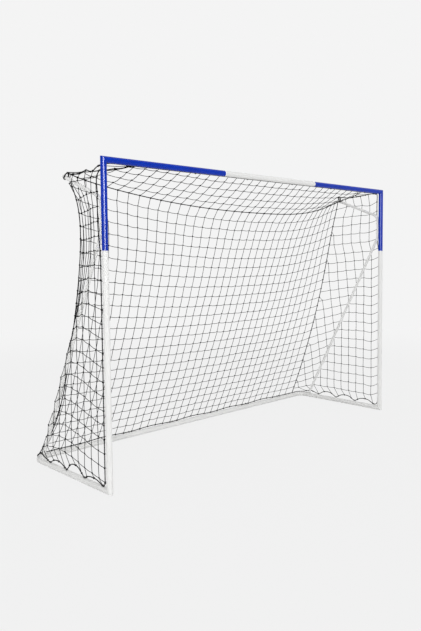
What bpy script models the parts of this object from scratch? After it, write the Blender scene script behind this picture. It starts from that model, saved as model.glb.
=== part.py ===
# Soccer goal of plug-together steel tube with a knotted net.
# Metres, +Z up. The mouth faces -Y, the net runs back to +Y, the origin is on the ground at the middle.
import math

import bmesh
import bpy
from mathutils import Matrix, Vector

# Overall size
goalWidth = 3.0
goalHeight = 2.0
goalDepth = 0.95

# Main tube
tubeDiameter = 0.038
tubeWall = 0.0015
tubeSides = 24
gap = 0.0003
slip = 0.0003

# Where the tubes part
cornerLegOnPost = 0.545
middleTubeLength = 1.0
elbowLeg = 0.2
elbowRadius = 0.08
elbowSteps = 6
spigotLength = 0.07
swageLength = 0.003

# Side support, a thinner bent tube behind each post. A drop is measured down from the goal's top.
supportDiameter = 0.022
supportWall = 0.0012
supportSides = 12
supportFootAhead = 0.109
supportLowKneeDrop = 0.427
supportHighKneeDrop = 0.235
supportArmReach = 0.443
supportArmDrop = 0.073
supportBendRadius = 0.06
supportBendSteps = 3
footPlateLength = 0.056
footPlateThickness = 0.003
footPlateForward = 0.016
footScrewBehind = 0.026
capStem = 0.015
capDome = 0.007
screwDrops = {"lower": 0.39, "upper": 0.3}
screwDiameter = 0.006
screwHeadDiameter = 0.012
screwHeadHeight = 0.0035
screwGrip = 0.006

# Spring button that locks each plugged joint
buttonDiameter = 0.007
buttonFlangeDiameter = 0.011
buttonFlangeThickness = 0.002
buttonStandOut = 0.0038
buttonDome = 0.0012
buttonFromSeam = 0.035
rearButtonSlope = 45.0
buttonHoleClearance = 0.0004

# Hooks that hold the net's border rope to the tubes
hookWire = 0.004
hookClearance = 0.0006
hookCurl = 210.0
hookSteps = 6
runnerHookFirst = 0.06
runnerHookSpacing = 0.21
rearHookEdge = 0.361
rearHookCount = 6
barHookEdge = 0.231
barHookCount = 6
barHookSlope = 30.0

# Border ropes. Each is round and smooth, and a drop is measured down from the goal's top.
ropeDiameter = 0.007
ropeSides = 6
ropeSpanSteps = 6
ropeKnot = 0.022
runnerRopeRise = 0.03
rearRopeRise = 0.008
topRopeEndDrop = 0.053
topRopeMiddleDrop = 0.235
topRopeReach = 0.463
sideRopeDrop = 0.048
sideRopeSag = 0.006
mouthRopeTurn = 0.09
mouthRopeFootZ = 0.07
mouthRopeSteps = 10

# Net panels, as thin sheets between the ropes
netThickness = 0.001
netInset = 0.0143
topPanelSideInset = 0.043
topPanelSag = 0.012
sidePanelFootZ = 0.09
backPanelCells = (16, 12)
topPanelCells = (16, 4)
sidePanelCells = (6, 12)
backBow = 0.05
cornerBow = 0.075
cornerPull = 0.14
cornerPullReach = 0.08
cornerForward = 0.06
cornerForwardReach = 0.05
cornerFootSpread = 0.06

# Worked out from the sizes above
tubeRadius = tubeDiameter / 2
boreRadius = tubeRadius - tubeWall
spigotRadius = boreRadius - slip
postX = (goalWidth - tubeDiameter) / 2
mouthY = -(goalDepth - tubeDiameter) / 2
rearY = -mouthY
barZ = goalHeight - tubeRadius
groundZ = tubeRadius
postSeamZ = goalHeight - cornerLegOnPost
barSeamX = middleTubeLength / 2
runnerSeamY = rearY - elbowLeg
rearSeamX = postX - elbowLeg
supportRadius = supportDiameter / 2
supportBore = supportRadius - supportWall
supportBackY = mouthY + tubeRadius + gap + supportRadius
supportLowKneeZ = goalHeight - supportLowKneeDrop
supportHighKneeZ = goalHeight - supportHighKneeDrop
supportArmY = mouthY + supportArmReach
supportArmZ = goalHeight - supportArmDrop
supportFootY = rearY - supportFootAhead
footPlateZ = tubeDiameter + gap + footPlateThickness / 2
ropeRadius = ropeDiameter / 2
hookReach = ropeRadius + hookClearance + hookWire / 2
ropeLift = ropeRadius + hookClearance
ropeX = goalWidth / 2 - ropeRadius - gap
ropeOnTubeZ = tubeDiameter + ropeLift
rearRopeTopZ = ropeOnTubeZ + rearRopeRise + ropeRadius
topRopeY = mouthY + topRopeReach
topRopeEndZ = goalHeight - topRopeEndDrop
topRopeMiddleZ = goalHeight - topRopeMiddleDrop
upward = Vector((0, 0, 1))
backward = Vector((0, 1, 0))
rightward = Vector((1, 0, 0))

for old in list(bpy.data.objects):
    bpy.data.objects.remove(old, do_unlink=True)


def newCollection(name):
    collection = bpy.data.collections.new(name)
    bpy.context.scene.collection.children.link(collection)
    return collection


goal = newCollection("soccer_goal")
cutters = newCollection("cutters")


def newMaterial(name, colour, roughness, metallic):
    material = bpy.data.materials.new(name)
    material.use_nodes = True
    shader = material.node_tree.nodes["Principled BSDF"]
    shader.inputs["Base Color"].default_value = (*colour, 1.0)
    shader.inputs["Roughness"].default_value = roughness
    shader.inputs["Metallic"].default_value = metallic
    material.diffuse_color = (*colour, 1.0)
    return material


bluePaint = newMaterial("blue_paint", (0.0, 0.035, 0.42), 0.3, 0.0)
whitePaint = newMaterial("white_paint", (0.84, 0.84, 0.83), 0.3, 0.0)
zincSteel = newMaterial("zinc_steel", (0.55, 0.56, 0.58), 0.35, 1.0)
capPlastic = newMaterial("cap_plastic", (0.78, 0.78, 0.76), 0.45, 0.0)
hookPlastic = newMaterial("hook_plastic", (0.02, 0.02, 0.02), 0.5, 0.0)
netCord = newMaterial("net_cord", (0.015, 0.015, 0.015), 0.7, 0.0)


def addObject(name, mesh, material, collection=goal, smooth=True):
    """Puts a mesh in the scene under its own name."""
    mesh.name = name
    if material:
        mesh.materials.append(material)
    if smooth:
        mesh.shade_smooth()
        mesh.set_sharp_from_angle(angle=math.radians(35))
    thing = bpy.data.objects.new(name, mesh)
    collection.objects.link(thing)
    return thing


def addCutter(name, mesh):
    cutter = addObject(name, mesh, None, cutters, smooth=False)
    cutter.hide_render = True
    cutter.display_type = "WIRE"
    return cutter


def addBoolean(thing, operation, tool):
    modifier = thing.modifiers.new(operation.lower() + "_" + tool.name, "BOOLEAN")
    modifier.operation = operation
    modifier.object = tool


def roundCorners(points, radius, steps):
    """A bent tube's centre line: each inner corner becomes an arc of the bend radius."""
    path = [points[0]]
    for before, corner, after in zip(points, points[1:], points[2:]):
        arriving = (corner - before).normalized()
        leaving = (after - corner).normalized()
        turn = arriving.angle(leaving)
        tangent = radius * math.tan(turn / 2)
        start = corner - arriving * tangent
        sideways = (leaving - arriving * leaving.dot(arriving)).normalized()
        centre = start + sideways * radius
        for step in range(steps + 1):
            angle = turn * step / steps
            path.append(centre + radius * (arriving * math.sin(angle) - sideways * math.cos(angle)))
    path.append(points[-1])
    return path


def tubeMesh(path, radii, sides, reference, firstCut=None):
    """Open tube skin along a path. Corners are mitred and keep the full diameter.

    Its faces, not its edges, touch the true round, and one of them faces the reference direction.
    A slanting cut of the first end is given by the normal of its plane."""
    bm = bmesh.new()
    first = (path[1] - path[0]).normalized()
    across = (reference - first * reference.dot(first)).normalized()
    turned = Matrix((across, first.cross(across), first)).transposed().to_4x4()
    halfStep = Matrix.Rotation(math.pi / sides, 4, "Z")
    ringRadius = radii[0] / math.cos(math.pi / sides)
    place = Matrix.Translation(path[0]) @ turned @ halfStep
    made = bmesh.ops.create_circle(bm, cap_ends=False, segments=sides, radius=ringRadius, matrix=place)
    ring = set(made["verts"])
    if firstCut:
        for vertex in ring:
            vertex.co += first * ((path[0] - vertex.co).dot(firstCut) / first.dot(firstCut))
    for index in range(1, len(path)):
        arriving = (path[index] - path[index - 1]).normalized()
        leaving = arriving
        if index + 1 < len(path):
            leaving = (path[index + 1] - path[index]).normalized()
        normal = (arriving + leaving).normalized()
        edges = [edge for edge in bm.edges if edge.verts[0] in ring and edge.verts[1] in ring]
        extruded = bmesh.ops.extrude_edge_only(bm, edges=edges)["geom"]
        ring = {item for item in extruded if isinstance(item, bmesh.types.BMVert)}
        grow = radii[index] / radii[index - 1]
        for vertex in ring:
            travel = (path[index] - vertex.co).dot(normal) / arriving.dot(normal)
            placed = vertex.co + arriving * travel
            vertex.co = path[index] + (placed - path[index]) * grow
    bmesh.ops.recalc_face_normals(bm, faces=bm.faces)
    face = next(iter(bm.faces))
    if face.normal.dot(face.calc_center_median() - (path[0] + path[1]) / 2) < 0:
        bmesh.ops.reverse_faces(bm, faces=bm.faces)
    mesh = bpy.data.meshes.new("tube")
    bm.to_mesh(mesh)
    bm.free()
    return mesh


def addTube(name, path, radii, wall, sides, reference, material, firstCut=None):
    thing = addObject(name, tubeMesh(path, radii, sides, reference, firstCut), material)
    shell = thing.modifiers.new("wall", "SOLIDIFY")
    shell.thickness = wall
    shell.offset = -1.0
    shell.use_even_offset = True
    return thing


def swagedEnd(seam, direction):
    """Points and radii of a shoulder and the reduced end beyond it, which plugs into the next tube."""
    shoulder = seam - direction * swageLength
    neck = seam - direction * gap
    tip = seam + direction * spigotLength
    return [shoulder, neck, tip], [tubeRadius, spigotRadius, spigotRadius]


def cylinderMesh(radius, start, end, sides):
    bm = bmesh.new()
    axis = end - start
    turn = axis.to_track_quat("Z", "Y").to_matrix().to_4x4()
    place = Matrix.Translation((start + end) / 2) @ turn
    bmesh.ops.create_cone(bm, cap_ends=True, segments=sides, radius1=radius, radius2=radius,
                          depth=axis.length, matrix=place)
    mesh = bpy.data.meshes.new("cylinder")
    bm.to_mesh(mesh)
    bm.free()
    return mesh


def addHole(thing, name, radius, start, end, sides=12):
    addBoolean(thing, "DIFFERENCE", addCutter(name, cylinderMesh(radius, start, end, sides)))


def addTurned(name, profile, steps, origin, direction, material):
    """A turned piece: (radius, height) pairs from the top down, on an axis through origin."""
    bm = bmesh.new()
    corners = [bm.verts.new((radius, 0, height)) for radius, height in profile]
    for upper, lower in zip(corners, corners[1:]):
        bm.edges.new((upper, lower))
    mesh = bpy.data.meshes.new(name)
    bm.to_mesh(mesh)
    bm.free()
    thing = addObject(name, mesh, material, smooth=False)
    screw = thing.modifiers.new("turn", "SCREW")
    screw.axis = "Z"
    screw.steps = steps
    screw.render_steps = steps
    screw.use_merge_vertices = True
    screw.merge_threshold = 0.00001
    thing.location = origin
    thing.rotation_mode = "QUATERNION"
    thing.rotation_quaternion = direction.to_track_quat("Z", "Y")
    return thing


def addCord(name, points, radius, material):
    """A round cord or wire with closed ends, as a curve along the points."""
    curve = bpy.data.curves.new(name, "CURVE")
    curve.dimensions = "3D"
    curve.bevel_depth = radius
    curve.bevel_resolution = (ropeSides - 4) // 2
    curve.use_fill_caps = True
    spline = curve.splines.new("POLY")
    spline.points.add(len(points) - 1)
    for target, point in zip(spline.points, points):
        target.co = (*point, 1.0)
    curve.materials.append(material)
    thing = bpy.data.objects.new(name, curve)
    goal.objects.link(thing)
    return thing


def smoothPath(points, steps):
    """Points along a soft curve through the given ones."""
    path = []
    padded = [points[0] * 2 - points[1], *points, points[-1] * 2 - points[-2]]
    for index in range(1, len(padded) - 2):
        a, b, c, d = padded[index - 1:index + 3]
        for step in range(steps):
            t = step / steps
            path.append(((b * 2) + (c - a) * t + (a * 2 - b * 5 + c * 4 - d) * t ** 2
                         + (b * 3 - a - c * 3 + d) * t ** 3) / 2)
    path.append(points[-1])
    return path


def addSheet(name, shape, cells, material):
    """A net panel as a thin closed sheet; shape gives the point for two places from 0 to 1."""
    bm = bmesh.new()
    bmesh.ops.create_grid(bm, x_segments=cells[0], y_segments=cells[1], size=0.5)
    for vertex in bm.verts:
        vertex.co = shape(vertex.co.x + 0.5, vertex.co.y + 0.5)
    mesh = bpy.data.meshes.new(name)
    bm.to_mesh(mesh)
    bm.free()
    thing = addObject(name, mesh, material, smooth=False)
    shell = thing.modifiers.new("thickness", "SOLIDIFY")
    shell.thickness = netThickness
    shell.offset = 0.0
    return thing


def addButton(name, seam, along, outward, outerTube, innerTube):
    """A spring button with its hole through both walls of a plugged joint."""
    centre = seam + along * buttonFromSeam
    hole = buttonDiameter / 2 + buttonHoleClearance
    for tube in (outerTube, innerTube):
        addHole(tube, name + "_hole_" + tube.name, hole, centre + outward * (spigotRadius / 2),
                centre + outward * (tubeRadius * 2), 16)
    flange = buttonFlangeDiameter / 2
    shaft = buttonDiameter / 2
    flangeTop = math.sqrt((spigotRadius - tubeWall) ** 2 - flange ** 2) - gap * 2
    flangeBottom = flangeTop - buttonFlangeThickness
    top = tubeRadius + buttonStandOut
    profile = [(0, top), (shaft * 0.55, top - buttonDome * 0.2), (shaft, top - buttonDome),
               (shaft, flangeTop), (flange, flangeTop), (flange, flangeBottom), (0, flangeBottom)]
    addTurned(name, profile, 10, centre, outward, zincSteel)


def mirrored(point, side):
    return Vector((point.x * side, point.y, point.z))


# The side support's centre line in its own plane, from the foot plate up to its rear tip
def supportLine():
    foot = Vector((postX, supportFootY, footPlateZ))
    lowKnee = Vector((postX, supportBackY, supportLowKneeZ))
    highKnee = Vector((postX, supportBackY, supportHighKneeZ))
    tip = Vector((postX, supportArmY, supportArmZ))
    rising = (lowKnee - foot).normalized()
    return foot, rising, roundCorners([foot, lowKnee, highKnee, tip], supportBendRadius, supportBendSteps)


supportFoot, supportRising, supportPath = supportLine()
armDirection = (supportPath[-1] - supportPath[-2]).normalized()


# Steel frame
def addMainTube(name, path, radii, facing, material):
    return addTube(name, path, radii, tubeWall, tubeSides, facing, material)


def buildCornerTube(side, name):
    """Blue tube: the outer third of the crossbar and the top of the post, mitred and welded."""
    corner = Vector((postX, mouthY, barZ))
    path = [Vector((barSeamX, mouthY, barZ)), corner, Vector((postX, mouthY, postSeamZ))]
    path = [mirrored(point, side) for point in path]
    return addMainTube(name, path, [tubeRadius] * 3, upward, bluePaint)


def buildMiddleTube():
    right, rightRadii = swagedEnd(Vector((barSeamX, mouthY, barZ)), rightward)
    left, leftRadii = swagedEnd(Vector((-barSeamX, mouthY, barZ)), -rightward)
    path, radii = left[::-1] + right, leftRadii[::-1] + rightRadii
    return addMainTube("crossbar_middle_tube", path, radii, upward, whitePaint)


def buildPostFrame(side, name):
    """White tube: the lower post and the ground runner, mitred and welded at the foot."""
    top, topRadii = swagedEnd(Vector((postX, mouthY, postSeamZ)), upward)
    back, backRadii = swagedEnd(Vector((postX, runnerSeamY, groundZ)), backward)
    path = top[::-1] + [Vector((postX, mouthY, groundZ))] + back
    path = [mirrored(point, side) for point in path]
    return addMainTube(name, path, topRadii[::-1] + [tubeRadius] + backRadii, backward, whitePaint)


def buildElbow(side, name):
    """Bent rear corner that plugs over the runner and over the rear bar."""
    corner = [Vector((postX, runnerSeamY, groundZ)), Vector((postX, rearY, groundZ)),
              Vector((rearSeamX, rearY, groundZ))]
    path = [mirrored(point, side) for point in roundCorners(corner, elbowRadius, elbowSteps)]
    return addMainTube(name, path, [tubeRadius] * len(path), upward, whitePaint)


def buildRearBar(side, name):
    """Half of the rear bar. The right half plugs into the left one at the middle."""
    outer, outerRadii = swagedEnd(Vector((side * rearSeamX, rearY, groundZ)), rightward * side)
    inner, innerRadii = [Vector((0, rearY, groundZ))], [tubeRadius]
    if side > 0:
        inner, innerRadii = swagedEnd(inner[0], -rightward)
    return addMainTube(name, inner[::-1] + outer, innerRadii[::-1] + outerRadii, upward, whitePaint)


def buildSupport(side, name):
    """Bent tube with a foot plate welded to its lower end, which lies on the elbow."""
    path = [mirrored(point, side) for point in supportPath]
    radii = [supportRadius] * len(path)
    tube = addTube(name, path, radii, supportWall, supportSides, rightward, whitePaint, firstCut=upward)
    bm = bmesh.new()
    centre = Vector((side * postX, supportFoot.y - footPlateForward + footPlateLength / 2, footPlateZ))
    size = Matrix.Diagonal((supportDiameter, footPlateLength, footPlateThickness, 1))
    bmesh.ops.create_cube(bm, size=1, matrix=Matrix.Translation(centre) @ size)
    upright = [edge for edge in bm.edges if abs(edge.verts[0].co.z - edge.verts[1].co.z) > gap]
    bmesh.ops.bevel(bm, geom=upright, offset=supportRadius * 0.7, segments=2, profile=0.5, affect="EDGES")
    plate = bpy.data.meshes.new("plate")
    bm.to_mesh(plate)
    bm.free()
    addBoolean(tube, "UNION", addCutter(name + "_plate", plate))
    return tube


def buildCap(side, name):
    """Plastic plug that closes the support's rear tip."""
    tip = mirrored(supportPath[-1], side)
    stem = supportBore - slip
    profile = [(0, capDome), (supportRadius * 0.55, capDome * 0.83), (supportRadius * 0.9, capDome * 0.4),
               (supportRadius, gap), (stem, gap), (stem, -capStem), (0, -capStem)]
    addTurned(name, profile, supportSides, tip, armDirection, capPlastic)


def addScrew(name, seat, outward, reach):
    """Domed screw: its head rests on the seat and its shaft runs the other way."""
    head = screwHeadDiameter / 2
    shaft = screwDiameter / 2
    profile = [(0, screwHeadHeight), (head * 0.6, screwHeadHeight * 0.85), (head, screwHeadHeight * 0.3),
               (head, gap), (shaft, gap), (shaft, -reach), (0, -reach)]
    addTurned(name, profile, 10, seat, outward, zincSteel)


def buildPostScrew(side, height, name, post, support):
    """Screw from behind, through the support and into the rear wall of the post."""
    hole = screwDiameter / 2 + slip
    seat = Vector((side * postX, supportBackY + supportRadius, height))
    postFace = seat - backward * supportDiameter
    behind, between = seat + backward * screwGrip, seat - backward * supportRadius
    addHole(support, name + "_support_hole", hole, behind, postFace - backward * screwGrip)
    addHole(post, name + "_post_hole", hole, between, postFace - backward * tubeRadius)
    addScrew(name, seat, backward, supportDiameter + gap + tubeWall + screwGrip)


def buildFootScrew(side, name, elbow, support):
    """Screw down through the foot plate into the top wall of the elbow."""
    hole = screwDiameter / 2 + slip
    seat = Vector((side * postX, supportFootY + footScrewBehind, footPlateZ + footPlateThickness / 2))
    tubeTop = Vector((seat.x, seat.y, tubeDiameter))
    addHole(support, name + "_plate_hole", hole, seat + upward * screwGrip, tubeTop + upward * gap / 2)
    addHole(elbow, name + "_elbow_hole", hole, seat, tubeTop - upward * tubeRadius)
    addScrew(name, seat, upward, footPlateThickness + gap + tubeWall + screwGrip)


def buildFrame():
    pieces = {"middle": buildMiddleTube()}
    for side, word in ((-1, "left"), (1, "right")):
        pieces["corner", side] = buildCornerTube(side, "corner_tube_" + word)
        pieces["post", side] = buildPostFrame(side, "post_and_runner_" + word)
        pieces["elbow", side] = buildElbow(side, "rear_elbow_" + word)
        pieces["rear", side] = buildRearBar(side, "rear_bar_" + word)
        pieces["support", side] = buildSupport(side, "side_support_" + word)
        buildCap(side, "support_cap_" + word)
        for place, drop in screwDrops.items():
            buildPostScrew(side, goalHeight - drop, "support_screw_" + place + "_" + word,
                           pieces["corner", side], pieces["support", side])
        buildFootScrew(side, "support_screw_foot_" + word, pieces["elbow", side], pieces["support", side])
    return pieces


def buildButtons(pieces):
    """One button for each plugged joint, on the side that the play doesn't reach."""
    slope = math.radians(rearButtonSlope)
    backAndDown = backward * math.cos(slope) - upward * math.sin(slope)
    for side, word in ((-1, "left"), (1, "right")):
        outboard = rightward * side
        seam = Vector((side * barSeamX, mouthY, barZ))
        addButton("spring_button_crossbar_" + word, seam, outboard, backward, pieces["corner", side],
                  pieces["middle"])
        seam = Vector((side * postX, mouthY, postSeamZ))
        addButton("spring_button_post_" + word, seam, upward, backward, pieces["corner", side],
                  pieces["post", side])
        seam = Vector((side * postX, runnerSeamY, groundZ))
        addButton("spring_button_runner_" + word, seam, backward, -outboard, pieces["elbow", side],
                  pieces["post", side])
        seam = Vector((side * rearSeamX, rearY, groundZ))
        addButton("spring_button_rear_" + word, seam, outboard, backAndDown, pieces["elbow", side],
                  pieces["rear", side])
    seam = Vector((0, rearY, groundZ))
    addButton("spring_button_rear_middle", seam, -rightward, backAndDown, pieces["rear", -1],
              pieces["rear", 1])


# Hooks
def evenPlaces(edge, count):
    """Places along X, mirrored about the middle. The outer ones are the edge distance inside the posts."""
    reach = postX - edge
    return [reach * (2 * number / (count - 1) - 1) for number in range(count)]


def runnerHookPlaces():
    """Places along Y from the first hook behind the post to the runner's seam."""
    room = runnerSeamY - mouthY - runnerHookFirst
    count = int(room / runnerHookSpacing) + 1
    return [mouthY + runnerHookFirst + runnerHookSpacing * number for number in range(count)]


def buildHook(name, foot, outward, sideways):
    """A wire hook that stands on a tube and curls over the rope beside it."""
    centre = foot + outward * ropeLift + sideways * hookReach
    points = [foot + outward * (gap + slip)]
    for step in range(hookSteps + 1):
        angle = math.radians(180 - hookCurl * step / hookSteps)
        points.append(centre + hookReach * (sideways * math.cos(angle) + outward * math.sin(angle)))
    addCord(name, points, hookWire / 2, hookPlastic)


def buildHooks():
    """Hooks on the runners, the rear bar and the crossbar."""
    for side, word in ((-1, "left"), (1, "right")):
        for number, y in enumerate(runnerHookPlaces(), 1):
            foot = Vector((side * postX, y, tubeDiameter))
            buildHook("net_hook_" + word + "_" + str(number), foot, upward, rightward * side)
    for number, x in enumerate(evenPlaces(rearHookEdge, rearHookCount), 1):
        buildHook("net_hook_rear_" + str(number), Vector((x, rearY, tubeDiameter)), upward, backward)
    outward, downward = besideBar()
    for number, x in enumerate(evenPlaces(barHookEdge, barHookCount), 1):
        foot = Vector((x, mouthY, barZ)) + outward * tubeRadius
        buildHook("net_hook_bar_" + str(number), foot, outward, downward)


def besideBar():
    """The two directions square to the crossbar in which its hooks stand off and reach round the rope."""
    slope = math.radians(barHookSlope)
    outward = backward * math.cos(slope) - upward * math.sin(slope)
    return outward, -backward * math.sin(slope) - upward * math.cos(slope)


# Net surfaces
def topRopeHeight(share):
    return topRopeMiddleZ + (topRopeEndZ - topRopeMiddleZ) * share ** 2


def backPoint(share, down):
    """Back net: share runs -1 to 1 from the left corner rope to the right one, down 0 to 1."""
    pull = cornerPull * (1 - math.exp(-down / cornerPullReach))
    halfWidth = postX - pull + cornerFootSpread * down ** 6
    edge = abs(share)
    bow = backBow + (cornerBow - backBow) * edge ** 4
    forward = cornerForward * edge ** 8 * (1 - math.exp(-down / cornerForwardReach)) * (1 - down)
    y = topRopeY + (rearY - topRopeY) * down - bow * 4 * down * (1 - down) - forward
    z = topRopeHeight(share) + (rearRopeTopZ - topRopeHeight(share)) * down
    return Vector((share * halfWidth, y, z))


def cornerPoint(height):
    return backPoint(1.0, (topRopeEndZ - height) / (topRopeEndZ - rearRopeTopZ))


def mouthRopeY(height):
    """The mouth rope hangs behind the support's upright, and below it just behind the post."""
    behindSupport = supportBackY + supportRadius + ropeDiameter
    behindPost = mouthY + tubeRadius + gap + ropeDiameter
    slack = (supportLowKneeZ - height) / (supportLowKneeZ - postSeamZ)
    return behindSupport + (behindPost - behindSupport) * min(1.0, max(0.0, slack))


def supportRearEdge(height):
    """The rearmost line that the side net folds over at a height: the support's diagonal or its arm."""
    if height < supportLowKneeZ:
        centre = supportFoot.y + supportRising.y / supportRising.z * (height - supportFoot.z)
        return max(centre, supportBackY) + supportRadius / supportRising.z
    rise = max(0.0, height - supportHighKneeZ)
    arm = supportBackY + armDirection.y / armDirection.z * rise
    return arm + supportRadius / armDirection.z * min(1.0, rise / supportRadius)


def sidePoint(side, back, height):
    """Side net: from the mouth rope over the support to the corner rope, at one height."""
    front = mouthRopeY(height) + netInset
    corner = cornerPoint(height)
    fold = max(front + netInset, supportRearEdge(height) + netThickness * 2)
    fold = min(fold, corner.y - netInset)
    if back <= 0.5:
        return Vector((side * ropeX, front + (fold - front) * back * 2, height))
    flat = Vector((corner.x - ropeX, corner.y - fold))
    reach = (1 - netInset / flat.length) * (back - 0.5) * 2
    return Vector((side * (ropeX + flat.x * reach), fold + flat.y * reach, height))


def topPoint(share, back):
    """Top net: share runs -1 to 1 across the goal, back 0 to 1 from the crossbar to the top rear rope."""
    frontY = mouthY + tubeRadius + ropeDiameter + netInset
    frontZ = barZ - tubeRadius * math.sin(math.radians(barHookSlope))
    rearZ = topRopeHeight(share)
    y = frontY + (topRopeY - netInset - frontY) * back
    sag = topPanelSag * 4 * back * (1 - back) * (1 - share ** 2)
    return Vector((share * postX, y, frontZ + (rearZ - frontZ) * back - sag))


def buildNetPanels():
    backShare = 1 - netInset / postX
    backInset = netInset / topRopeEndZ
    topShare = 1 - topPanelSideInset / postX

    def back(across, up):
        return backPoint((across * 2 - 1) * backShare, backInset + (1 - 2 * backInset) * (1 - up))

    def top(across, along):
        return topPoint((across * 2 - 1) * topShare, along)

    addSheet("net_back_panel", back, backPanelCells, netCord)
    addSheet("net_top_panel", top, topPanelCells, netCord)
    highest = supportArmZ - supportDiameter * 2
    rows = sidePanelCells[1]
    heights = [sidePanelFootZ + (highest - sidePanelFootZ) * step / rows for step in range(rows + 1)]
    heights = sorted(heights + [supportLowKneeZ, supportHighKneeZ])
    for side, word in ((-1, "left"), (1, "right")):
        def wall(across, up, side=side):
            return sidePoint(side, across, heights[round(up * (len(heights) - 1))])

        addSheet("net_side_panel_" + word, wall, (sidePanelCells[0], len(heights) - 1), netCord)


# Border ropes
def buildMouthRope():
    """One rope up one post, along behind the crossbar and down the other post."""
    outward, downward = besideBar()
    top = barZ - mouthRopeTurn
    heights = [top - (top - mouthRopeFootZ) * step / mouthRopeSteps for step in range(mouthRopeSteps + 1)]
    heights = sorted(heights + [supportLowKneeZ, postSeamZ], reverse=True)
    onBar = Vector((postX - tubeRadius * 3, mouthY, barZ))
    onBar += outward * (tubeRadius + ropeLift) + downward * hookReach
    turning = Vector((postX - tubeRadius, mouthY + tubeRadius + ropeDiameter, barZ - tubeRadius * 1.7))
    drop = [Vector((ropeX, mouthRopeY(height), height)) for height in heights]
    line = smoothPath([onBar, turning] + drop, 3)
    rightSide = [Vector((min(point.x, ropeX), point.y, point.z)) for point in line]
    leftSide = [mirrored(point, -1) for point in rightSide[::-1]]
    addCord("mouth_rope", leftSide + rightSide, ropeRadius, netCord)


def runnerRopePoints():
    """Right runner's rope: held at each hook and lifted between, then outside the support's foot."""
    points = []
    stops = runnerHookPlaces()
    inner = postX + hookReach
    for here, following in zip(stops, stops[1:]):
        for step in range(ropeSpanSteps):
            t = step / ropeSpanSteps
            lift = runnerRopeRise * math.sin(math.pi * t) ** 2
            points.append(Vector((inner, here + (following - here) * t, ropeOnTubeZ + lift)))
    points.append(Vector((inner, stops[-1], ropeOnTubeZ)))
    points.append(Vector((ropeX, supportFootY - footPlateForward - netInset, ropeOnTubeZ)))
    return points


def buildBottomRope():
    """One rope along both runners, round the rear elbows and along the rear bar."""
    runner = runnerRopePoints()
    centre = Vector((postX - elbowRadius, rearY - elbowRadius, ropeOnTubeZ))
    bend = []
    for step in range(elbowSteps + 1):
        share = step / elbowSteps
        angle = math.pi / 2 * share
        bendRadius = elbowRadius + (ropeX - postX) * (1 - share) + hookReach * share
        bend.append(centre + bendRadius * Vector((math.cos(angle), math.sin(angle), 0)))
    rear = []
    stops = evenPlaces(rearHookEdge, rearHookCount)[::-1]
    for here, following in zip(stops, stops[1:]):
        for step in range(ropeSpanSteps):
            t = step / ropeSpanSteps
            lift = rearRopeRise * math.sin(math.pi * t) ** 2
            rear.append(Vector((here + (following - here) * t, rearY + hookReach, ropeOnTubeZ + lift)))
    rear.append(Vector((stops[-1], rearY + hookReach, ropeOnTubeZ)))
    path = runner + bend + rear + [mirrored(point, -1) for point in bend[::-1] + runner[::-1]]
    addCord("bottom_rope", path, ropeRadius, netCord)


def buildTopRopes():
    back = []
    ends = 1 - ropeDiameter * 2 / postX
    steps = backPanelCells[0]
    for step in range(steps + 1):
        share = (step * 2 / steps - 1) * ends
        back.append(Vector((share * postX, topRopeY, topRopeHeight(share))))
    addCord("top_rear_rope", back, ropeRadius, netCord)
    sideRopeZ = goalHeight - sideRopeDrop
    frontY = mouthY + tubeRadius + supportDiameter + ropeKnot
    rearEndY = topRopeY - ropeDiameter * 1.5
    for side, word in ((-1, "left"), (1, "right")):
        start = Vector((postX + ropeDiameter, frontY, sideRopeZ - sideRopeSag * 2))
        middle = Vector((postX + ropeRadius, (frontY + rearEndY) / 2, sideRopeZ - sideRopeSag))
        end = Vector((postX, rearEndY, sideRopeZ))
        line = smoothPath([mirrored(point, side) for point in (start, middle, end)], 4)
        addCord("top_side_rope_" + word, line, ropeRadius, netCord)


def buildCornerRopes():
    """The seams between the back net and the side nets, from below the arm's tip to the rear bar."""
    start = ropeKnot / topRopeEndZ
    steps = backPanelCells[1] + ropeSpanSteps
    for side, word in ((-1, "left"), (1, "right")):
        line = []
        for step in range(steps + 1):
            down = start + (1 - 2 * start) * (step / steps) ** 1.4
            line.append(mirrored(backPoint(1.0, down), side))
        addCord("rear_corner_rope_" + word, line, ropeRadius, netCord)


frameTubes = buildFrame()
buildButtons(frameTubes)
buildHooks()
buildNetPanels()
buildMouthRope()
buildBottomRope()
buildTopRopes()
buildCornerRopes()
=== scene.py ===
import math

import bmesh
import bpy
from mathutils import Matrix, Vector


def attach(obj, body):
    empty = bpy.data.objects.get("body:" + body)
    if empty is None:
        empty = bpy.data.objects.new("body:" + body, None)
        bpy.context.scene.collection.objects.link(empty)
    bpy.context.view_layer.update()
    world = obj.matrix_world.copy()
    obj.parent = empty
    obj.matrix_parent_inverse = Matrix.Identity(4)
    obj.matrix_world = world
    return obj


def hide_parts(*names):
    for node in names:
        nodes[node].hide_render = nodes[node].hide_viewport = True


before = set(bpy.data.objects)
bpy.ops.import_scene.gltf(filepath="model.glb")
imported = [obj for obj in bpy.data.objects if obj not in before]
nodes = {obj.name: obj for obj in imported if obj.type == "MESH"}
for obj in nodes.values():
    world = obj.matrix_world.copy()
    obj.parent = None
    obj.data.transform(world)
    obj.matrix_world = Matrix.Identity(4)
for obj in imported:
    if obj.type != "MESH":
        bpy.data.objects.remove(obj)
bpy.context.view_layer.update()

scene = bpy.context.scene
print("goal: frame loaded,", len(nodes), "parts")


# Camera, where the photograph was taken from
cameraView = {
    "place": (-3.5842, -3.5601, 1.4107),
    "azimuth": 43.49,      # degrees from +Y towards +X
    "pitch": -3.646,
    "roll": -0.546,
    "focalPixels": 633.844,
    "pictureSize": (421, 631),
    "centreRow": 297.66,
}


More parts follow.
